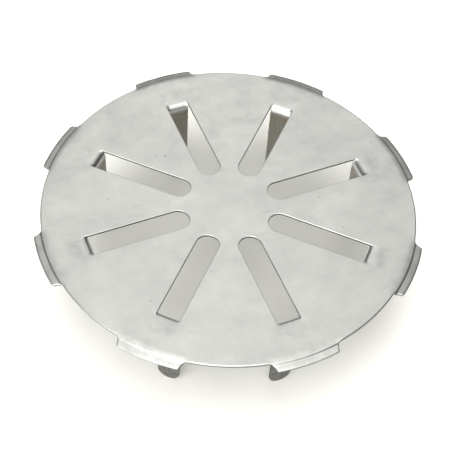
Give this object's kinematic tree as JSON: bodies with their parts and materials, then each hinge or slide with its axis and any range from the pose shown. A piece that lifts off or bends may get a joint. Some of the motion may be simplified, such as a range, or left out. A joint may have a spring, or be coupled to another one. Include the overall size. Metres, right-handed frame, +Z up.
{
  "type": "floor drain grate",
  "caption": "Round stamped stainless snap-in floor drain strainer with radial slots, bent-down spring legs and stepped rim tabs.",
  "frame": {"origin": "centre of the plate's top face", "axes": "+Z up out of the drain, square to the plate; +X along slot 1"},
  "size_m": [0.1364, 0.1364, 0.0386],
  "materials": {
    "stainless_sheet": "mill-finished stainless sheet, satin, lightly scuffed"
  },
  "bodies": {
    "grate": {"strainer_plate": "stainless_sheet", "rim_tab_1": "stainless_sheet", "rim_tab_2": "stainless_sheet", "rim_tab_3": "stainless_sheet", "rim_tab_4": "stainless_sheet", "rim_tab_5": "stainless_sheet", "rim_tab_6": "stainless_sheet", "rim_tab_7": "stainless_sheet", "rim_tab_8": "stainless_sheet", "leg_bend_1": "stainless_sheet", "leg_bend_2": "stainless_sheet", "leg_bend_3": "stainless_sheet", "leg_bend_4": "stainless_sheet", "leg_bend_5": "stainless_sheet", "leg_bend_6": "stainless_sheet", "leg_bend_7": "stainless_sheet", "leg_bend_8": "stainless_sheet"},
    "leg_1": {"spring_leg_1": "stainless_sheet"},
    "leg_2": {"spring_leg_2": "stainless_sheet"},
    "leg_3": {"spring_leg_3": "stainless_sheet"},
    "leg_4": {"spring_leg_4": "stainless_sheet"},
    "leg_5": {"spring_leg_5": "stainless_sheet"},
    "leg_6": {"spring_leg_6": "stainless_sheet"},
    "leg_7": {"spring_leg_7": "stainless_sheet"},
    "leg_8": {"spring_leg_8": "stainless_sheet"}
  },
  "joints": [
    {"name": "leg_flex_1", "type": "hinge", "parent": "grate", "child": "leg_1", "pos_m": [0.0503, 0, -0.00758], "axis": [0, 1, 0], "range_deg": [-3, 3], "stiffness_Nm_per_rad": 4.1},
    {"name": "leg_flex_2", "type": "hinge", "parent": "grate", "child": "leg_2", "pos_m": [0.03557, 0.03557, -0.00758], "axis": [-0.7071, 0.7071, 0], "range_deg": [-3, 3], "stiffness_Nm_per_rad": 4.1},
    {"name": "leg_flex_3", "type": "hinge", "parent": "grate", "child": "leg_3", "pos_m": [0, 0.0503, -0.00758], "axis": [-1, 0, 0], "range_deg": [-3, 3], "stiffness_Nm_per_rad": 4.1},
    {"name": "leg_flex_4", "type": "hinge", "parent": "grate", "child": "leg_4", "pos_m": [-0.03557, 0.03557, -0.00758], "axis": [-0.7071, -0.7071, 0], "range_deg": [-3, 3], "stiffness_Nm_per_rad": 4.1},
    {"name": "leg_flex_5", "type": "hinge", "parent": "grate", "child": "leg_5", "pos_m": [-0.0503, 0, -0.00758], "axis": [0, -1, 0], "range_deg": [-3, 3], "stiffness_Nm_per_rad": 4.1},
    {"name": "leg_flex_6", "type": "hinge", "parent": "grate", "child": "leg_6", "pos_m": [-0.03557, -0.03557, -0.00758], "axis": [0.7071, -0.7071, 0], "range_deg": [-3, 3], "stiffness_Nm_per_rad": 4.1},
    {"name": "leg_flex_7", "type": "hinge", "parent": "grate", "child": "leg_7", "pos_m": [0, -0.0503, -0.00758], "axis": [1, 0, 0], "range_deg": [-3, 3], "stiffness_Nm_per_rad": 4.1},
    {"name": "leg_flex_8", "type": "hinge", "parent": "grate", "child": "leg_8", "pos_m": [0.03557, -0.03557, -0.00758], "axis": [0.7071, 0.7071, 0], "range_deg": [-3, 3], "stiffness_Nm_per_rad": 4.1}
  ]
}
